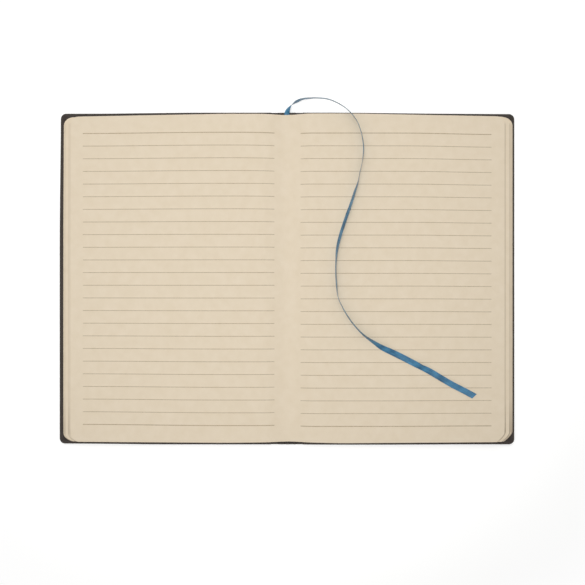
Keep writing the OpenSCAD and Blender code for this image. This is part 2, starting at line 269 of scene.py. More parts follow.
def routeAt(place):
    # point on the smooth line through the route: X, Y, Z and roll, place counted in spans
    last = len(ribbonRoute) - 1
    i = min(int(place), last - 1)
    t = place - i
    a, b, c, d = (ribbonRoute[max(0, min(last, n))] for n in (i - 1, i, i + 1, i + 2))
    return [0.5 * (2 * b[k] + (c[k] - a[k]) * t + (2 * a[k] - 5 * b[k] + 4 * c[k] - d[k]) * t * t
                   + (3 * b[k] - 3 * c[k] + d[k] - a[k]) * t ** 3) for k in range(4)]


def shareOf(place, spans):
    first, run = spans
    return min(1, max(0, (place - first) / run))


def sweepRibbon(name, start, end, material):
    count = round((end - start) * ribbonSet["ringsPerSpan"])
    places = [start + (end - start) * i / count for i in range(count + 1)]
    steps = ribbonSet["acrossSteps"]
    half = ribbonSet["width"] / 2
    top, under, marks, path = [], [], [], []
    travelled = 0.0
    for place in places:
        here = routeAt(place)
        point = Vector(here[:3])
        ahead = (Vector(routeAt(min(place + 0.05, len(ribbonRoute) - 1))[:3])
                 - Vector(routeAt(max(place - 0.05, 0))[:3])).normalized()
        across = ahead.cross(Vector((0, 0, 1))).normalized()
        lift = across.cross(ahead)
        roll = math.radians(here[3])
        wide = across * math.cos(roll) + lift * math.sin(roll)
        normal = lift * math.cos(roll) - across * math.sin(roll)
        if path:
            travelled += (point * mm - Vector(path[-1])).length
        path.append(tuple(point * mm))
        slant = ribbonSet["endSlant"] * max(0, (place - len(ribbonRoute) + 1.4) / 0.4)
        curl = math.sin(math.pi * shareOf(place, ribbonSet["curlSpans"])) ** 2
        cup = ribbonSet["cup"] + (ribbonSet["rootCup"] - ribbonSet["cup"]) * curl
        pinch = ribbonSet["rootPinch"]
        chord = pinch + (1 - pinch) * shareOf(place, ribbonSet["pinchSpans"])
        topLine, underLine, markLine = [], [], []
        for j in range(steps + 1):
            share = 2 * j / steps - 1
            body = point + wide * (half * chord * share) + ahead * (slant * share)
            body = body + normal * (cup * (0.4 - share * share))
            thick = ribbonSet["thickness"] / 2 * (1 - 0.7 * abs(share) ** 12)
            if abs(share) > 0.8:
                thick *= ribbonSet["selvedge"]
            topLine.append(body + normal * thick)
            underLine.append(body - normal * thick)
            markLine.append((travelled, half * share * mm))
        top.append(topLine)
        under.append(underLine)
        marks.append(markLine)
    store = newStore()
    addGrid(store, top, flip=True, marks=marks)
    addGrid(store, under, marks=marks)
    for j, flip in ((0, True), (steps, False)):
        addGrid(store, [[under[i][j], top[i][j]] for i in range(count + 1)], flip=flip,
                marks=[[marks[i][j], marks[i][j]] for i in range(count + 1)])
    for i, flip in ((0, False), (count, True)):
        addGrid(store, [[under[i][j], top[i][j]] for j in range(steps + 1)], flip=flip,
                marks=[[marks[i][j], marks[i][j]] for j in range(steps + 1)])
    return makePiece(name, store, [material]), path


def satinRibbon():
    # Polyester satin, woven narrow with a firm selvedge: long warp floats give a silky streak along it
    material, tree, shader = newMaterial("blueSatinRibbon", {
        "Roughness": 0.38, "IOR": 1.5, "Specular IOR Level": 0.35, "Anisotropic": 0.5,
        "Sheen Weight": 0.12, "Sheen Roughness": 0.4})
    strip = addNode(tree, "ShaderNodeUVMap", {"uv_map": "strip"}).outputs[0]
    parts = addNode(tree, "ShaderNodeSeparateXYZ", None, {0: strip})
    # warp: real threads are 0.13 mm apart, drawn at twice that so that they show
    along = addNode(tree, "ShaderNodeMath", {"operation": "MULTIPLY", 1: 1 / (ribbonSet["floatLength"] * mm)},
                    {0: parts.outputs[0]})
    across = addNode(tree, "ShaderNodeMath",
                     {"operation": "MULTIPLY", 1: 1 / (2 * ribbonSet["threadPitch"] * mm)},
                     {0: parts.outputs[1]})
    warpPlace = addNode(tree, "ShaderNodeCombineXYZ", None, {0: along.outputs[0], 1: across.outputs[0]})
    warp = addNode(tree, "ShaderNodeTexNoise", {"Scale": 1.0, "Detail": 2.0, "Roughness": 0.6},
                   {"Vector": warpPlace.outputs[0]})
    # weft: one pick every 0.4 mm just shows between the floats
    weft = addNode(tree, "ShaderNodeTexWave", {
        "bands_direction": "X", "Scale": 1 / (0.4 * mm) / math.pi / 2, "Distortion": 0.6, "Detail": 1.0},
        {"Vector": strip})
    # slow change along the length, where the ribbon was creased and handled
    slow = addNode(tree, "ShaderNodeTexNoise", {"Scale": 1 / (7 * mm), "Detail": 2.0}, {"Vector": strip})
    streaks = addNode(tree, "ShaderNodeMath", {"operation": "MULTIPLY", 1: 0.45}, {0: warp.outputs[0]})
    tone = addNode(tree, "ShaderNodeMath", {"operation": "MULTIPLY_ADD", 1: 0.55},
                   {0: slow.outputs[0], 2: streaks.outputs[0]})
    colour = addNode(tree, "ShaderNodeValToRGB", None, {0: tone.outputs[0]})
    for stop, (position, hexCode) in zip(colour.color_ramp.elements, ((0.36, "#1d4c6b"), (0.64, "#4a87ab"))):
        stop.position = position
        stop.color = linearColour(hexCode)
    tree.links.new(colour.outputs[0], shader.inputs["Base Color"])
    threads = addNode(tree, "ShaderNodeMath", {"operation": "MULTIPLY_ADD", 1: 0.25},
                      {0: weft.outputs[0], 2: warp.outputs[0]})
    bump = addNode(tree, "ShaderNodeBump", {"Strength": 0.5, "Distance": 0.04 * mm},
                   {"Height": threads.outputs[0]})
    tree.links.new(bump.outputs[0], shader.inputs["Normal"])
    tangent = addNode(tree, "ShaderNodeTangent", {"direction_type": "UV_MAP", "uv_map": "strip"})
    tree.links.new(tangent.outputs[0], shader.inputs["Tangent"])
    return material


satin = satinRibbon()
ribbonRoot, rootPath = sweepRibbon("ribbonRoot", 0, ribbonSet["rootSpan"], satin)
ribbonMarker, ribbonPath = sweepRibbon("ribbonMarker", ribbonSet["rootSpan"], len(ribbonRoute) - 1, satin)
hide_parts("ribbon_marker")
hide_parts("ribbon_marker")
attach(ribbonMarker, "back_cover")
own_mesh(ribbonMarker)
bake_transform(ribbonRoot)
# two cords end to end: the loop over the head, and the rest, which lies on the page and is attached to the
# back cover
print("notebook: ribbon swept,", len(ribbonMarker.data.vertices), "vertices")


# leaves

leafSet = {
    "gutterX": 0.6,           # the gutter, from the middle of the spine
    "width": 142.4,
    "headY": {leftSide: 103.5, rightSide: 103.7},
    "tailY": {leftSide: -103.5, rightSide: -103.75},
    "trimU": 40,              # from here outwards the trim of head and tail slants
    "headSlant": 1.85,
    "tailSlant": 0.6,
    # opened flat, the sheets draw in a little towards their folds: how far, and up to which u
    "headPull": {leftSide: (0.26, 22), rightSide: (0.36, 13)},
    "tailPull": {leftSide: (0.34, 44), rightSide: (0.62, 36)},
    "cornerRadius": 5.3,
    "tailCorner": {leftSide: 1.0, rightSide: 1.22},   # the corners at the tail were cut a little slacker
    "tailCut": {leftSide: 0.15, rightSide: 0.5},      # and straighter: 0 is round, 1 a straight cut
    "headDraw": {leftSide: 0.36, rightSide: 0.0},     # how far the fore-edge runs in towards the head
    "bottomZ": 2.6,
    "crestZ": 7.1,
    "crestU": 24,
    "swell": 0.76,
    "gutterDip": 3.0,
    "valleyU": 16,            # half the width of the valley at the gutter, rounded at its bottom
    "stackX": 9.25,           # from here outwards the leaves lie on their cover
    "foldZ": 2.05,
    "foldPitch": 0.818,
    "thickness": 0.075,       # with a hair of air this makes the 0.085 mm from leaf to leaf
    "leavesInSection": 8,
    "openLeaves": 4,          # half of the section that the book lies open in
    "openPitch": 0.083,       # from leaf to leaf there
    "foldFill": 0.9,          # share of a section's pitch that its folds fill
    # the fore-edge of each section's lowest leaf, set back from the lowest of all, from the cover up
    "setback": {rightSide: (0, 0.5, 1.5, 2.0, 4.9, 5.5), leftSide: (0, 0.6, 1.3, 3.5, 4.2, 5.0)},
    "fan": {rightSide: 0.55, leftSide: 0.32},     # how far the eight leaves of one section step back
    "leafEdgeShade": {rightSide: 1.0, leftSide: 0.7},      # how much painted shade darkens the trimmed edges, where the leaves step down
    "cornerEdgeShade": 2.8,        # times as much painted shade at the tail corners, where the rounded corners step down
    "slip": 0.09,             # leaves aren't quite flush at the head
    "edgeWave": 0.05,         # nor at the fore-edge
    "cockle": 0.05,           # slow waves in the sheets
    # columns outwards and rows from tail to head, of leaves in the block, leaves under the page and the page
    "blockGrid": (6, 9),
    "underGrid": (8, 9),
    "pageGrid": (34, 44),
    "gutterColumns": 11,
    "foldColumns": 10,
}
leafCount = 5 * leafSet["leavesInSection"] + leafSet["openLeaves"]
firstOpen = leafCount - leafSet["openLeaves"]


def smoothStep(a, b, x):
    t = min(1, max(0, (x - a) / (b - a)))
    return t * t * (3 - 2 * t)


def pageZ(u):
    # height of the open page at distance u from the gutter
    if u < leafSet["crestU"]:
        return leafSet["crestZ"] - leafSet["gutterDip"] * (1 - smoothStep(0, leafSet["valleyU"], u))
    share = (u - leafSet["crestU"]) / (leafSet["width"] - leafSet["crestU"])
    return leafSet["crestZ"] - leafSet["swell"] * share ** 2


def cockleAt(side, u, y):
    ramp = min(1, max(0, u - 6) / 40) ** 2
    wave = math.sin(y / 12.3 + u / 31 * side + side) * 0.6 + math.sin(y / 6.9 - u / 17 + 2 * side) * 0.4
    return leafSet["cockle"] * ramp * wave


def slantAt(u):
    return max(0, u - leafSet["trimU"]) / (leafSet["width"] - leafSet["trimU"])


def headAt(side, u):
    pull, run = leafSet["headPull"][side]
    return leafSet["headY"][side] - leafSet["headSlant"] * slantAt(u) - pull * (1 - smoothStep(0, run, u))


def tailAt(side, u):
    pull, run = leafSet["tailPull"][side]
    return leafSet["tailY"][side] + leafSet["tailSlant"] * slantAt(u) + pull * (1 - smoothStep(0, run, u))


def tailInset(side, inset):
    radius = leafSet["cornerRadius"]
    straight = math.sqrt(max(0, radius ** 2 - (radius - inset) ** 2))
    return leafSet["tailCorner"][side] * (inset + leafSet["tailCut"][side] * (straight - inset))


def foldShare(sheet):
    # radius of a sheet's fold, as a share of the sections' pitch, from the outermost sheet inwards
    return (3.5 - sheet) / leafSet["leavesInSection"] * leafSet["foldFill"]


def stackStart(side):
    return abs(side * leafSet["stackX"] - leafSet["gutterX"])


def leafReach(side, k):
    # sections slide over one another when the book lies open, and the leaves of each fan a little
    section, step = divmod(k, leafSet["leavesInSection"])
    fanned = leafSet["fan"][side] * step / leafSet["leavesInSection"]
    return leafSet["width"] - leafSet["setback"][side][section] - fanned


def leafColumns(side, k, straightSteps):
    # columns of one leaf from its fold to the fore-edge: u, x, z, inset at head and tail
    level = (k + 1) / leafCount
    gutterX, stackU = leafSet["gutterX"], stackStart(side)
    reach, radius = leafReach(side, k), leafSet["cornerRadius"]
    height = lambda u: leafSet["bottomZ"] + level * (pageZ(u) - leafSet["bottomZ"])
    columns = []
    if k >= firstOpen:
        drop = (leafCount - 1 - k) * leafSet["openPitch"]
        for i in range(leafSet["gutterColumns"]):
            u = stackU * i / leafSet["gutterColumns"]
            columns.append((u, gutterX + side * u, pageZ(u) - drop, 0))
        lid = lambda u: min(height(u), pageZ(u) - drop)
    else:
        section, step = divmod(k, leafSet["leavesInSection"])
        lid = height
        startX = gutterX + side * leafSet["foldPitch"] * (5 - section + foldShare(step))
        startZ = leafSet["foldZ"] + leafSet["foldPitch"] / 2
        endX, endZ = gutterX + side * stackU, height(stackU)
        slope = (height(stackU + 0.1) - endZ) / 0.1
        run = abs(endX - startX)
        bends = [
            (startX, startZ),
            (startX + side * 0.12 * run, startZ + 0.62 * (endZ - startZ)),
            (endX - side * 0.45 * run, endZ - 0.45 * run * slope),
            (endX, endZ),
        ]
        for i in range(leafSet["foldColumns"]):
            t = i / leafSet["foldColumns"]
            weights = ((1 - t) ** 3, 3 * t * (1 - t) ** 2, 3 * t * t * (1 - t), t ** 3)
            x = sum(w * p[0] for w, p in zip(weights, bends))
            z = sum(w * p[1] for w, p in zip(weights, bends))
            u = max(0, side * (x - gutterX))
            if section > 1:
                z = min(z, max(startZ, pageZ(u) - (leafCount - 1 - k) * leafSet["openPitch"]))
            columns.append((u, x, z, 0))
    straightEnd = reach - radius
    for i in range(straightSteps):
        u = stackU + (straightEnd - stackU) * (i / straightSteps) ** 1.4
        columns.append((u, gutterX + side * u, lid(u), 0))
    for i in range(10):
        a = math.radians(10 * i)
        u = straightEnd + radius * math.sin(a)
        columns.append((u, gutterX + side * u, lid(u), radius * (1 - math.cos(a))))
    return columns


def addLeaf(store, side, k, straightSteps, rows):
    columns = leafColumns(side, k, straightSteps)
    level = (k + 1) / leafCount
    slip = dice.uniform(0, leafSet["slip"]) if k < leafCount - 1 else 0
    thickness = leafSet["thickness"]
    flip = side == leftSide
    grid, below, marks = [], [], []
    last = len(columns) - 1
    ends = [0, 0.12, 0.35]
    for i, (u, x, z, inset) in enumerate(columns):
        before, after = columns[max(0, i - 1)], columns[min(last, i + 1)]
        dx, dz = after[1] - before[1], after[2] - before[2]
        length = math.hypot(dx, dz) or 1
        normalX, normalZ = -dz / length * side, abs(dx) / length
        head = headAt(side, u) - inset - slip
        tail = tailAt(side, u) + tailInset(side, inset) + slip * 0.6
        line, lowLine, markLine = [], [], []
        middle = [tail + (head - tail) * j / rows for j in range(1, rows)]
        for y in [tail + e for e in ends] + middle + [head - e for e in reversed(ends)]:
            edge = max(0, (i - last + 9) / 9)
            wave = leafSet["edgeWave"] * (1 + noise.noise(Vector((y / 19, k * 0.7, side * 3.0))))
            drawn = (wave + leafSet["headDraw"][side] * smoothStep(20, 110, y)) * edge
            lift = cockleAt(side, u, y) * level
            here = (x - side * drawn, y, z + lift)
            line.append(here)
            lowLine.append((here[0] - normalX * thickness, y, here[2] - normalZ * thickness))
            # painted shade along the last 0.42 mm before the trim, stronger at the tail corners
            outwards = min(columns[last][0] - u, (y - tail + 0.05) * 1.2)
            leafEdgeShade = leafSet["leafEdgeShade"][side] * (1 - smoothStep(0, 0.42, outwards)) if edge > 0.1 else 0
            if y < tail + 1 and inset > 0.1:
                leafEdgeShade *= leafSet["cornerEdgeShade"]
            markLine.append((leafEdgeShade, 0))
        grid.append(line)
        below.append(lowLine)
        marks.append(markLine)
    addGrid(store, grid, 0, flip, marks)
    for j, turned in ((0, flip), (-1, not flip)):
        addGrid(store, [[below[i][j], grid[i][j]] for i in range(last + 1)], 1, turned)
    addGrid(store, [[low, high] for low, high in zip(below[last], grid[last])], 1, not flip)


def addFolds(store, side, section):
    # the backs of one section's four folded sheets, one inside the other
    centreX = leafSet["gutterX"] + side * leafSet["foldPitch"] * (5 - section)
    centreZ = leafSet["foldZ"] + leafSet["foldPitch"] / 2
    head, tail = headAt(side, 0) - 0.02, tailAt(side, 0) + 0.02
    for sheet in range(4):
        radius = foldShare(sheet) * leafSet["foldPitch"]
        inner = max(0.01, radius - leafSet["thickness"])
        outerArc, innerArc = [], []
        for i in range(9):
            a = math.pi * i / 8
            outerArc.append((centreX + side * radius * math.cos(a), centreZ - radius * math.sin(a)))
            innerArc.append((centreX + side * inner * math.cos(a), centreZ - inner * math.sin(a)))
        addGrid(store, [[(x, tail, z), (x, head, z)] for x, z in outerArc], 0, side == rightSide)
        for y, turned in ((tail, side == rightSide), (head, side == leftSide)):
            end = [[(a[0], y, a[1]), (b[0], y, b[1])] for a, b in zip(outerArc, innerArc)]
            addGrid(store, end, 1, turned)


def creamPaper(name, base, cloud, attribute, edge=False, edgeShade=0.0):
    # Uncoated woodfree paper, tinted cream in the pulp and calendered: matt, with a faint cloudy formation.
    # The last third of a millimetre before the trim is darkened with painted shade, which sets off each leaf.
    material, tree, shader = newMaterial(name, {"Roughness": 0.88, "IOR": 1.45, "Specular IOR Level": 0.22})
    place = placeOf(tree, attribute)
    clouds = addNode(tree, "ShaderNodeTexNoise", {"Scale": 1 / (5.5 * mm), "Detail": 3.0, "Roughness": 0.55},
                     {"Vector": place})
    # pulp fibres are about 1 mm long and 0.02 mm wide, drawn as specks of 0.35 mm
    fibres = addNode(tree, "ShaderNodeTexNoise", {"Scale": 1 / (0.35 * mm), "Detail": 2.0, "Roughness": 0.7},
                     {"Vector": place})
    both = addNode(tree, "ShaderNodeMath", {"operation": "MULTIPLY_ADD", 1: 0.45},
                   {0: fibres.outputs[0], 2: clouds.outputs[0]})
    spread = addNode(tree, "ShaderNodeMapRange", {"From Min": 0.45}, {"Value": both.outputs[0]})
    tone = addNode(tree, "ShaderNodeMix", {
        "data_type": "RGBA", 6: linearColour(cloud), 7: linearColour(base)},
        {0: spread.outputs[0]}).outputs[2]
    # painted shade at the trimmed edges of the leaves, read from the strip map
    if edgeShade:
        strip = addNode(tree, "ShaderNodeUVMap", {"uv_map": "strip"})
        amount = addNode(tree, "ShaderNodeSeparateXYZ", None, {0: strip.outputs[0]})
        share = addNode(tree, "ShaderNodeMath", {"operation": "MULTIPLY", 1: edgeShade}, {0: amount.outputs[0]})
        tone = addNode(tree, "ShaderNodeMix", {"data_type": "RGBA", 7: linearColour("#8f8271")},
                       {0: share.outputs[0], 6: tone}).outputs[2]
    tree.links.new(tone, shader.inputs["Base Color"])
    bump = addNode(tree, "ShaderNodeBump", {"Strength": 0.35 if edge else 0.22, "Distance": 0.03 * mm},
                   {"Height": both.outputs[0]})
    tree.links.new(bump.outputs[0], shader.inputs["Normal"])
    return material


# the page paper carries painted shade along its trimmed edges
pagePaper = creamPaper("creamWritingPaper", "#dfd1bb", "#dacbb3", "restPlace", edgeShade=0.28)
cutPaper = creamPaper("guillotinedPaperEdge", "#d8cab4", "#c3b298", "restPlace", edge=True)
pastePaper = creamPaper("creamEndpaper", "#dccdb6", "#d5c5ac", None)

for side in (leftSide, rightSide):
    node = sideName[side] + "_leaves"
    for section in range(5):
        store = newStore()
        for step in range(leafSet["leavesInSection"]):
            addLeaf(store, side, section * leafSet["leavesInSection"] + step, *leafSet["blockGrid"])
        addFolds(store, side, section)
        piece = makePiece(sideName[side] + "Section" + str(section + 1), store, [pagePaper, cutPaper])
        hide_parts(node, "section_folds")
        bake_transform(piece)
    store = newStore()
    for k in range(firstOpen, leafCount - 1):
        addLeaf(store, side, k, *leafSet["underGrid"])
    under = makePiece(sideName[side] + "OpenSection", store, [pagePaper, cutPaper])
    store = newStore()
    addLeaf(store, side, leafCount - 1, *leafSet["pageGrid"])
    page = makePiece(sideName[side] + "Page", store, [pagePaper, cutPaper])
    for piece in (under, page):
        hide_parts(node, "section_folds")
        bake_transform(piece)
print("notebook:", 2 * leafCount, "leaves laid")


# ruling

rulingSet = {
    "pitch": 8.0,
    "count": 24,
    "startU": {leftSide: 8.5, rightSide: 8.0},
    "endU": {leftSide: 129.1, rightSide: 128.2},
    "width": 0.36,
    "endWidth": 0.52,         # the first and the last line are a little heavier
    "middleY": {leftSide: -0.4, rightSide: -0.9},
    "rise": 0.025,            # over the page
    "steps": 60,
    "ink": "#a8987f",
    "thinInk": "#bcab93",
}


def pressDrift(side, u, y):
    # the printed lines follow the paper's own slight distortion, a few tenths of a millimetre
    share = y / 100
    if side == leftSide:
        drift = share * (0.28 - 0.75 * smoothStep(40, 130, u))
        return drift - 0.3 * max(0, share) * (1 - smoothStep(8, 30, u))
    return share * (0.3 - 0.6 * smoothStep(70, 130, u)) - 0.3 * smoothStep(80, 130, u)


def rulingInk():
    # Offset-printed grey-brown ink on uncoated stock: matt, soaked in, a little uneven along the line
    material, tree, shader = newMaterial("greyBrownRulingInk", {
        "Roughness": 0.85, "IOR": 1.5, "Specular IOR Level": 0.2})
    place = placeOf(tree, "restPlace")
    grain = addNode(tree, "ShaderNodeTexNoise", {"Scale": 1 / (0.9 * mm), "Detail": 3.0, "Roughness": 0.65},
                    {"Vector": place})
    spread = addNode(tree, "ShaderNodeMapRange", {"From Min": 0.35, "From Max": 0.65},
                     {"Value": grain.outputs[0]})
    colour = addNode(tree, "ShaderNodeMix", {"data_type": "RGBA", 6: linearColour(rulingSet["ink"]),
                                             7: linearColour(rulingSet["thinInk"])}, {0: spread.outputs[0]})
    tree.links.new(colour.outputs[2], shader.inputs["Base Color"])
    return material


inkMaterial = rulingInk()
for side in (leftSide, rightSide):
    store = newStore()
    startU, endU = rulingSet["startU"][side], rulingSet["endU"][side]
    for number in range(rulingSet["count"]):
        y = rulingSet["middleY"][side] + rulingSet["pitch"] * (number - (rulingSet["count"] - 1) / 2)
        half = (rulingSet["endWidth"] if number in (0, rulingSet["count"] - 1) else rulingSet["width"]) / 2
        line = []
        for i in range(rulingSet["steps"] + 1):
            u = startU + (endU - startU) * (i / rulingSet["steps"]) ** 1.3
            z = pageZ(u) + cockleAt(side, u, y) + rulingSet["rise"]
            x, middle = leafSet["gutterX"] + side * u, y + pressDrift(side, u, y)
            line.append([(x, middle - half, z), (x, middle + half, z)])
        addGrid(store, line, 0, side == leftSide)
    ruling = makePiece(sideName[side] + "Ruling", store, [inkMaterial])
    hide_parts(sideName[side] + "_ruling")
    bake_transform(ruling)
print("notebook: pages ruled")


# leatherette cover

coverSet = {
    "endX": 144.3,
    "height": 210,
    "cornerRadius": 3.5,
    "turnIn": 15,
    "spineTop": 2.0,          # leatherette turned in over the spine card
    "boardTop": 2.4,
    "grooveTop": 1.1,
    "grooveDent": 0.35,       # the joint is pressed in along both sides of the spine
    "grainSize": 0.9,
    "wobble": 0.04,           # hand-turned edges are never quite straight
    # the boards are cut a little out of true: their edges bow out in the middle, then drop
    # each drop is how far, and from x to x
    "headBow": 0.26,
    "headDrop": {leftSide: (0.68, 50, 130), rightSide: (0.90, 15, 140)},
    "tailBow": 0.36,
    "tailDrop": {leftSide: (0.55, 70, 145), rightSide: (0.20, 60, 120)},
    "tailSwell": {leftSide: 0, rightSide: 0.18},
    "sideDrop": {leftSide: 0.76, rightSide: 0.0},
    "pleat": 0.10,            # gathers where the leatherette goes round a corner
    "cornerSteps": 20,
    "edgeSteps": 30,
    "flatX": 98,              # past it the columns are drawn in or out, to end at the corner
    # half the width of the cover, in columns from the middle of the spine
    "columns": [0, 1.5, 3, 4.2, 4.9, 5.3, 5.6, 5.9, 6.3, 6.7, 7.1, 7.5, 7.9, 8.4, 8.9, 9.4, 9.8, 10.2, 10.6,
                11.2, 12.5, 15, 20, 27, 35, 44, 53, 62, 71, 80, 89, 98, 106, 114, 122, 129, 135, 140.6],
    # from the outer face round the edge and in again: inset from the edge, and share of the thickness
    "rings": ((15, 0), (9, 0), (5, 0), (2.5, 0), (1.2, 0), (0.6, 0.01), (0.32, 0.06), (0.1, 0.17), (0, 0.34),
              (0, 0.62), (0.07, 0.82), (0.24, 0.95), (0.5, 1), (0.9, 1), (1.5, 1), (2.4, 1), (4, 1), (6, 1),
              (10, 1), (14.9, 1), (15.05, 0.985), (15.1, 0.85)),
}


def coverUnder(x):
    return coverSet["grooveDent"] * smoothStep(5.3, 6.6, x) * (1 - smoothStep(8.4, 10.2, x))


def coverOver(x):
    low = coverSet["spineTop"] + (coverSet["grooveTop"] - coverSet["spineTop"]) * smoothStep(5.2, 6.3, x)
    return low + (coverSet["boardTop"] - coverSet["grooveTop"]) * smoothStep(9.5, 10.5, x)


def outOfTrue(side, x, y, push):
    # moves a point of the true rectangle to where the photo shows it
    endX, halfH = coverSet["endX"], coverSet["height"] / 2
    nearEnd = abs(y) > halfH - 3
    across = x - (0 if nearEnd else push) - coverSet["sideDrop"][side] * smoothStep(20, 110, y) * x / endX
    along = y - (push if nearEnd else 0) * (1 if y > 0 else -1)
    if y > 0:
        drop, fromX, toX = coverSet["headDrop"][side]
        bow = coverSet["headBow"]
    else:
        drop, fromX, toX = coverSet["tailDrop"][side]
        bow = coverSet["tailBow"] + coverSet["tailSwell"][side] * smoothStep(0, 25, x)
    bow -= drop * smoothStep(fromX, toX, x)
    return side * across, along + bow * y / halfH


def drawnTo(endX):
    # the columns, the outer ones drawn in or out to end at endX
    flat, columns = coverSet["flatX"], coverSet["columns"]
    stretch = columns[-1] - flat
    return [x if x < flat else flat + (x - flat) / stretch * (endX - flat) for x in columns]


def coverRing(side, inset, rise):
    # one closed path round half of the cover, from the spine's middle at the head to the one at the tail
    endX, halfH = coverSet["endX"], coverSet["height"] / 2
    cornerSteps, edgeSteps = coverSet["cornerSteps"], coverSet["edgeSteps"]
    radius = max(coverSet["cornerRadius"] - inset, 0.4 if inset < coverSet["turnIn"] else 0)
    hold = inset + radius
    columns = drawnTo(endX - hold)
    path = [(x, halfH - inset, 0) for x in columns]
    for i in range(1, cornerSteps):
        a = math.pi / 2 * (1 - i / cornerSteps)
        gather = abs(math.sin(math.pi * 5 * i / cornerSteps))
        path.append((endX - hold + radius * math.cos(a), halfH - hold + radius * math.sin(a), gather))
    for i in range(edgeSteps + 1):
        path.append((endX - inset, (halfH - hold) * (1 - 2 * i / edgeSteps), 0))
    for i in range(1, cornerSteps):
        a = -math.pi / 2 * i / cornerSteps
        gather = abs(math.sin(math.pi * 5 * i / cornerSteps))
        path.append((endX - hold + radius * math.cos(a), -halfH + hold + radius * math.sin(a), gather))
    path += [(x, inset - halfH, 0) for x in reversed(columns)]
    wobble = coverSet["wobble"] if inset < 3 else 0
    ring = []
    for x, y, gather in path:
        push = wobble * noise.noise(Vector((x / 23, y / 23, side * 5.0)))
        z = coverUnder(x) + rise * (coverOver(x) - coverUnder(x))
        if rise > 0.9 and 0.1 < inset < 6:
            near = smoothStep(0.1, 0.6, inset) * (1 - smoothStep(3, 6, inset))
            z += coverSet["pleat"] * (gather - 0.6) * near
        ring.append((*outOfTrue(side, x, y, push), z))
    return ring


def leatherette():
    # Paper-backed PU leatherette, embossed with a fine grain, matt; turned edges are rubbed a little lighter
    material, tree, shader = newMaterial("darkLeatherette", {
        "Roughness": 0.55, "IOR": 1.5, "Specular IOR Level": 0.22})
    place = placeOf(tree, "restPlace")
    cells = addNode(tree, "ShaderNodeTexVoronoi", {
        "feature": "DISTANCE_TO_EDGE", "Scale": 1 / (coverSet["grainSize"] * mm)}, {"Vector": place})
    pores = addNode(tree, "ShaderNodeTexNoise", {"Scale": 1 / (0.25 * mm), "Detail": 2.0}, {"Vector": place})
    patches = addNode(tree, "ShaderNodeTexNoise", {"Scale": 1 / (14 * mm), "Detail": 3.0, "Roughness": 0.6},
                      {"Vector": place})
    rub = addNode(tree, "ShaderNodeAttribute", {"attribute_name": "rub"})
    rubbed = addNode(tree, "ShaderNodeMath", {"operation": "MULTIPLY"},
                     {0: rub.outputs["Fac"], 1: patches.outputs[0]})
    tone = addNode(tree, "ShaderNodeMix", {
        "data_type": "RGBA", 6: linearColour("#2b2521"), 7: linearColour("#38302b")},
        {0: patches.outputs[0]})
    worn = addNode(tree, "ShaderNodeMix", {"data_type": "RGBA", 7: linearColour("#514943")},
                   {0: rubbed.outputs[0], 6: tone.outputs[2]})
    tree.links.new(worn.outputs[2], shader.inputs["Base Color"])
    valley = addNode(tree, "ShaderNodeMapRange", {"From Max": 0.18}, {"Value": cells.outputs[0]})
    height = addNode(tree, "ShaderNodeMath", {"operation": "MULTIPLY_ADD", 1: 0.3},
                     {0: pores.outputs[0], 2: valley.outputs[0]})
    bump = addNode(tree, "ShaderNodeBump", {"Strength": 0.45, "Distance": 0.07 * mm},
                   {"Height": height.outputs[0]})
    tree.links.new(bump.outputs[0], shader.inputs["Normal"])
    gloss = addNode(tree, "ShaderNodeMapRange", {"To Min": 0.62, "To Max": 0.48},
                    {"Value": valley.outputs[0]})
    tree.links.new(gloss.outputs[0], shader.inputs["Roughness"])
    return material


def rubAt(inset, rise):
    # how much the leatherette is rubbed: most round the edge, then along the rim
    if 0 < rise < 1 and inset < 1:
        return 1.0
    return 0.6 if rise == 1 and inset < 0.6 else 0.0


def buildCover(side, material):
    edgeSteps = coverSet["edgeSteps"]
    paths = [coverRing(side, inset, rise) for inset, rise in coverSet["rings"]]
    marks = [[(rubAt(inset, rise), 0)] * len(paths[0]) for inset, rise in coverSet["rings"]]
    store = newStore()
    addGrid(store, paths, 0, side == leftSide, marks)
    # the middle of the outer face, with the same steps as the ring that it meets
    innerX, innerY = coverSet["endX"] - coverSet["turnIn"], coverSet["height"] / 2 - coverSet["turnIn"]
    fill = []
    for x in drawnTo(innerX):
        fill.append([(*outOfTrue(side, x, innerY * (1 - 2 * j / edgeSteps), 0), coverUnder(x))
                     for j in range(edgeSteps + 1)])
    addGrid(store, fill, 0, side == rightSide, [[(0, 0)] * (edgeSteps + 1)] * len(fill))
    cover = makePiece("frontCover" if side == leftSide else "backCover", store, [material])
    rub = cover.data.attributes.new("rub", "FLOAT", "POINT")
    rub.data.foreach_set("value", [mark[0] for mark in store["marks"]])
    return cover


leather = leatherette()
for side in (leftSide, rightSide):
    cover = buildCover(side, leather)
    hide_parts("front_cover_skin" if side == leftSide else "back_cover_skin", "spine_skin")
    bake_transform(cover)
print("notebook: cover wrapped")


# pieces kept from the CAD model, with their own finishes

def greyBoard():
    # Solid greyboard from recycled fibre, rolled smooth: dull, flecked with darker and lighter fibres
    material, tree, shader = newMaterial("recycledGreyboard", {"Roughness": 0.93, "IOR": 1.45})
    place = placeOf(tree, None)
    flecks = addNode(tree, "ShaderNodeTexNoise", {"Scale": 1 / (0.8 * mm), "Detail": 4.0, "Roughness": 0.7},
                     {"Vector": place})
    colour = addNode(tree, "ShaderNodeValToRGB", None, {0: flecks.outputs[0]})
    for stop, (position, hexCode) in zip(colour.color_ramp.elements, ((0.32, "#77706a"), (0.70, "#a39b90"))):
        stop.position = position
        stop.color = linearColour(hexCode)
    tree.links.new(colour.outputs[0], shader.inputs["Base Color"])
    bump = addNode(tree, "ShaderNodeBump", {"Strength": 0.3, "Distance": 0.05 * mm},
                   {"Height": flecks.outputs[0]})
    tree.links.new(bump.outputs[0], shader.inputs["Normal"])
    return material


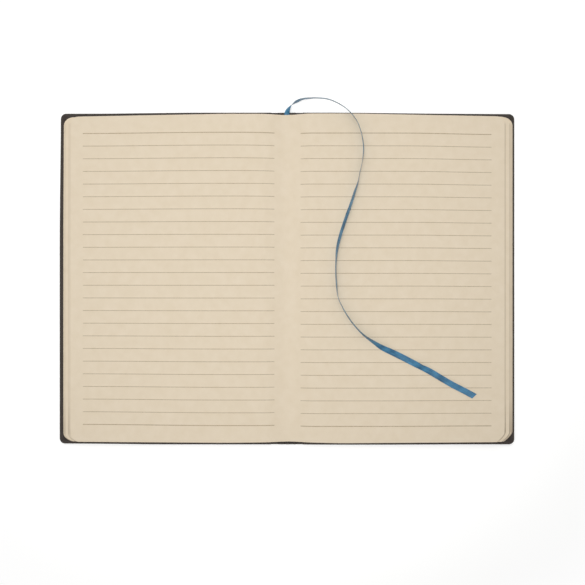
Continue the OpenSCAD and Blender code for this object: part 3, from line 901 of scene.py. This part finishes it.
def mullGauze():
    # Mull, the starched open cotton gauze that lines a spine: a plain weave with glue between the threads
    material, tree, shader = newMaterial("starchedMull", {"Roughness": 0.9, "IOR": 1.5})
    place = placeOf(tree, None)
    # threads of mull lie 0.9 mm apart
    along, crossing = [addNode(tree, "ShaderNodeTexWave", {
        "bands_direction": direction, "Scale": 1 / (0.9 * mm) / math.pi / 2, "Distortion": 0.4},
        {"Vector": place}).outputs["Fac"] for direction in ("X", "Y")]
    weave = addNode(tree, "ShaderNodeMath", {"operation": "MAXIMUM"}, {0: along, 1: crossing})
    colour = addNode(tree, "ShaderNodeMix", {
        "data_type": "RGBA", 6: linearColour("#a2957c"), 7: linearColour("#d9d0bd")}, {0: weave.outputs[0]})
    tree.links.new(colour.outputs[2], shader.inputs["Base Color"])
    bump = addNode(tree, "ShaderNodeBump", {"Strength": 0.6, "Distance": 0.1 * mm},
                   {"Height": weave.outputs[0]})
    tree.links.new(bump.outputs[0], shader.inputs["Normal"])
    return material


def linenThread():
    # Waxed linen sewing thread, two plies twisted: slanted bands along it and a slight wax shine
    material, tree, shader = newMaterial("waxedLinenThread", {"Roughness": 0.6, "IOR": 1.5})
    place = placeOf(tree, None)
    # the plies cross every 0.35 mm
    twist = addNode(tree, "ShaderNodeTexWave", {
        "bands_direction": "DIAGONAL", "Scale": 1 / (0.35 * mm) / math.pi / 2, "Distortion": 0.5},
        {"Vector": place})
    colour = addNode(tree, "ShaderNodeMix", {
        "data_type": "RGBA", 6: linearColour("#cfc5b0"), 7: linearColour("#f0eadc")},
        {0: twist.outputs["Fac"]})
    tree.links.new(colour.outputs[2], shader.inputs["Base Color"])
    return material


board = greyBoard()
finishes = {"spine_card": board, "spine_lining": mullGauze(), "sewing_thread": linenThread()}
for node, material in finishes.items():
    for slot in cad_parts[node].material_slots:
        slot.link = "OBJECT"
        slot.material = material

# boards and endpapers are out of true like the leatherette and the leaves round them
innerSet = {
    "startX": 10.2,
    "boardInset": 0.45,       # the leatherette's thickness and a hair of glue
    "boardTop": 1.98,
    "boardThickness": 1.56,
    "paperInset": 0.3,        # the endpapers were trimmed with the leaves, and shrank as the paste dried
    "paperShrink": 0.1,       # the same at head and tail
    "paperThickness": 0.13,
    "paperTop": 2.15,
    "paperStep": 0.4,         # up onto the turned-in leatherette
    "climb": (1.5, 0.5),      # from how far before the turn-in to how far past its edge
    "columns": 24,
    "shares": (0, 0.03, 0.058, 0.0655, 0.073, 0.1, 0.2, 0.35, 0.5),
}


def addSlab(store, side, columns, placeAt, thickness):
    # a closed sheet or board: columns give x or u and the ends at tail and head
    shares = list(innerSet["shares"]) + [1 - share for share in reversed(innerSet["shares"][:-1])]
    flip = side == leftSide
    top = [[placeAt(across, tail + (head - tail) * share) for share in shares]
           for across, tail, head in columns]
    low = [[(x, y, z - thickness) for x, y, z in line] for line in top]
    addGrid(store, top, 0, flip)
    addGrid(store, low, 0, not flip)
    for j, turned in ((0, flip), (-1, not flip)):
        addGrid(store, [[under[j], over[j]] for under, over in zip(low, top)], 0, turned)
    for i, turned in ((0, flip), (-1, not flip)):
        addGrid(store, [[under, over] for under, over in zip(low[i], top[i])], 0, turned)


def columnsTo(start, end, radius, tailEnd, headEnd):
    # straight part, then the rounded corners, of a slab
    straight, count = end - radius, innerSet["columns"]
    steps = [(start + (straight - start) * i / count, 0) for i in range(count)]
    for i in range(10):
        a = math.radians(10 * i)
        steps.append((straight + radius * math.sin(a), radius * (1 - math.cos(a))))
    return [(across, tailEnd(across, inset), headEnd(across, inset)) for across, inset in steps]


def buildBoard(side):
    inset = innerSet["boardInset"]
    halfH = coverSet["height"] / 2 - inset
    columns = columnsTo(innerSet["startX"], coverSet["endX"] - inset, coverSet["cornerRadius"] - inset,
                        lambda x, corner: corner - halfH, lambda x, corner: halfH - corner)
    store = newStore()
    addSlab(store, side, columns, lambda x, y: (*outOfTrue(side, x, y, 0), innerSet["boardTop"]),
            innerSet["boardThickness"])
    return makePiece(sideName[side] + "Board", store, [board], smooth=False)


def buildEndpaper(side):
    reach, radius = leafSet["width"] - innerSet["paperInset"], leafSet["cornerRadius"]
    innerX, innerY = coverSet["endX"] - coverSet["turnIn"], coverSet["height"] / 2 - coverSet["turnIn"]
    before, after = innerSet["climb"]

    def paperAt(u, y):
        x = leafSet["gutterX"] + side * u
        edge = max(0, (u - reach + radius) / radius)
        x -= side * leafSet["headDraw"][side] * smoothStep(20, 110, y) * edge
        climb = max(smoothStep(innerX - before, innerX + after, abs(x)),
                    smoothStep(innerY - before, innerY + after, abs(y)))
        return (x, y, innerSet["paperTop"] + innerSet["paperStep"] * climb)

    shrink = innerSet["paperShrink"]
    columns = columnsTo(innerSet["startX"] - side * leafSet["gutterX"], reach, radius,
                        lambda u, corner: tailAt(side, u) + tailInset(side, corner) + shrink,
                        lambda u, corner: headAt(side, u) - corner - shrink)
    store = newStore()
    addSlab(store, side, columns, paperAt, innerSet["paperThickness"])
    return makePiece(sideName[side] + "Endpaper", store, [pastePaper])


for side in (leftSide, rightSide):
    piece = buildBoard(side)
    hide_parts("front_board" if side == leftSide else "back_board")
    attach(piece, coverBody[side])
    piece = buildEndpaper(side)
    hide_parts("front_endpaper" if side == leftSide else "back_endpaper")
    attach(piece, coverBody[side])
print("notebook: inner pieces finished")
